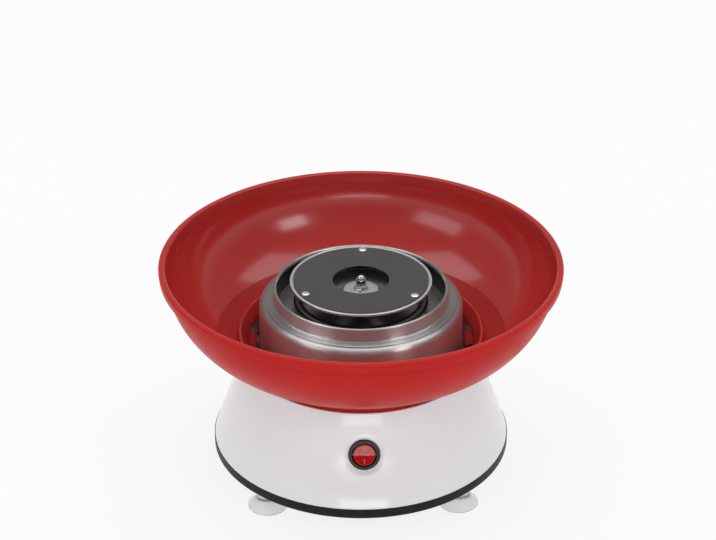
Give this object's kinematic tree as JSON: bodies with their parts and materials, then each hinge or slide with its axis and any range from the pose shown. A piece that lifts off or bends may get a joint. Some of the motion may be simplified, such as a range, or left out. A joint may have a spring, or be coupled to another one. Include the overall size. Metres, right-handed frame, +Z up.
{
  "type": "cotton candy machine",
  "caption": "Electric cotton candy machine: a spinning head over a heated steel collar throws sugar into a round lift-off bowl on a white base with a rocker switch.",
  "frame": {"origin": "on the ground under the middle of the base", "axes": "+Z up along the shaft of the spinning head, -Y towards the switch at the front, +X to the right seen from the front"},
  "size_m": [0.2996, 0.2996, 0.168],
  "materials": {
    "bowl_red": "gloss moulded",
    "housing_white": "gloss moulded",
    "pan_black": "satin moulded",
    "foot_clear": "translucent soft",
    "steel": "bright drawn",
    "steel_dark": "dark lining",
    "disc_dark": "dark brushed",
    "head_alu": "polished spun",
    "chrome": "bright plated",
    "brass": "turned",
    "shaft_steel": "ground",
    "lamination": "stamped",
    "winding": "taped winding",
    "ceramic": "glazed",
    "switch_black": "satin moulded",
    "switch_red": "translucent lit",
    "rubber_black": "moulded"
  },
  "bodies": {
    "base": {"housing_shell": "housing_white", "base_pan": "pan_black", "steel_band": "steel", "neck_ring": "steel", "collar_liner": "steel_dark", "chamber_floor": "steel", "heat_shield": "steel", "heater_ring": "shaft_steel", "thermal_cutout": "ceramic", "motor_stack": "lamination", "field_coil": "winding", "lower_strip": "steel", "upper_strip": "steel", "lower_bearing": "brass", "upper_bearing": "brass", "switch_bezel": "switch_black", "rocker_pin": "shaft_steel", "cord_gland": "switch_black", "terminal_block": "ceramic", "suction_foot_1": "foot_clear", "cover_screw_1": "shaft_steel", "suction_foot_2": "foot_clear", "cover_screw_2": "shaft_steel", "suction_foot_3": "foot_clear", "cover_screw_3": "shaft_steel", "suction_foot_4": "foot_clear", "cover_screw_4": "shaft_steel", "ledge_screw_1": "chrome", "ledge_screw_2": "chrome", "ledge_screw_3": "chrome", "ledge_screw_4": "chrome", "ledge_screw_5": "chrome", "ledge_screw_6": "chrome", "floor_post_1": "shaft_steel", "heater_clip_1": "ceramic", "floor_post_2": "shaft_steel", "heater_clip_2": "ceramic", "floor_post_3": "shaft_steel", "heater_clip_3": "ceramic", "motor_bolt_1": "shaft_steel", "motor_mount_1": "rubber_black", "switch_terminal_1": "brass", "motor_bolt_2": "shaft_steel", "motor_mount_2": "rubber_black", "switch_terminal_2": "brass"},
    "rotor": {"motor_shaft": "shaft_steel", "drive_pin": "shaft_steel", "motor_rotor": "lamination", "cooling_fan": "pan_black"},
    "head": {"head_disc": "disc_dark", "head_cup": "head_alu", "head_hub": "brass", "nut_washer": "chrome", "lock_nut": "chrome", "cap_nut": "chrome", "head_rivet_1": "head_alu", "head_rivet_2": "head_alu", "head_rivet_3": "head_alu"},
    "bowl": {"bowl": "bowl_red"},
    "rocker": {"switch_rocker": "switch_red"}
  },
  "joints": [
    {"name": "head_spin", "type": "hinge", "parent": "base", "child": "rotor", "pos_m": [0, 0, 0.1], "axis": [0, 0, 1], "continuous": true},
    {"name": "head_lift", "type": "slide", "parent": "rotor", "child": "head", "axis": [0, 0, 1], "range_m": [0, 0.1872]},
    {"name": "bowl_lift", "type": "slide", "parent": "base", "child": "bowl", "axis": [0, 0, 1], "range_m": [0, 0.0743]},
    {"name": "switch_rock", "type": "hinge", "parent": "base", "child": "rocker", "pos_m": [0, -0.09607, 0.06004], "axis": [1, 0, 0], "range_deg": [0, 16]}
  ]
}
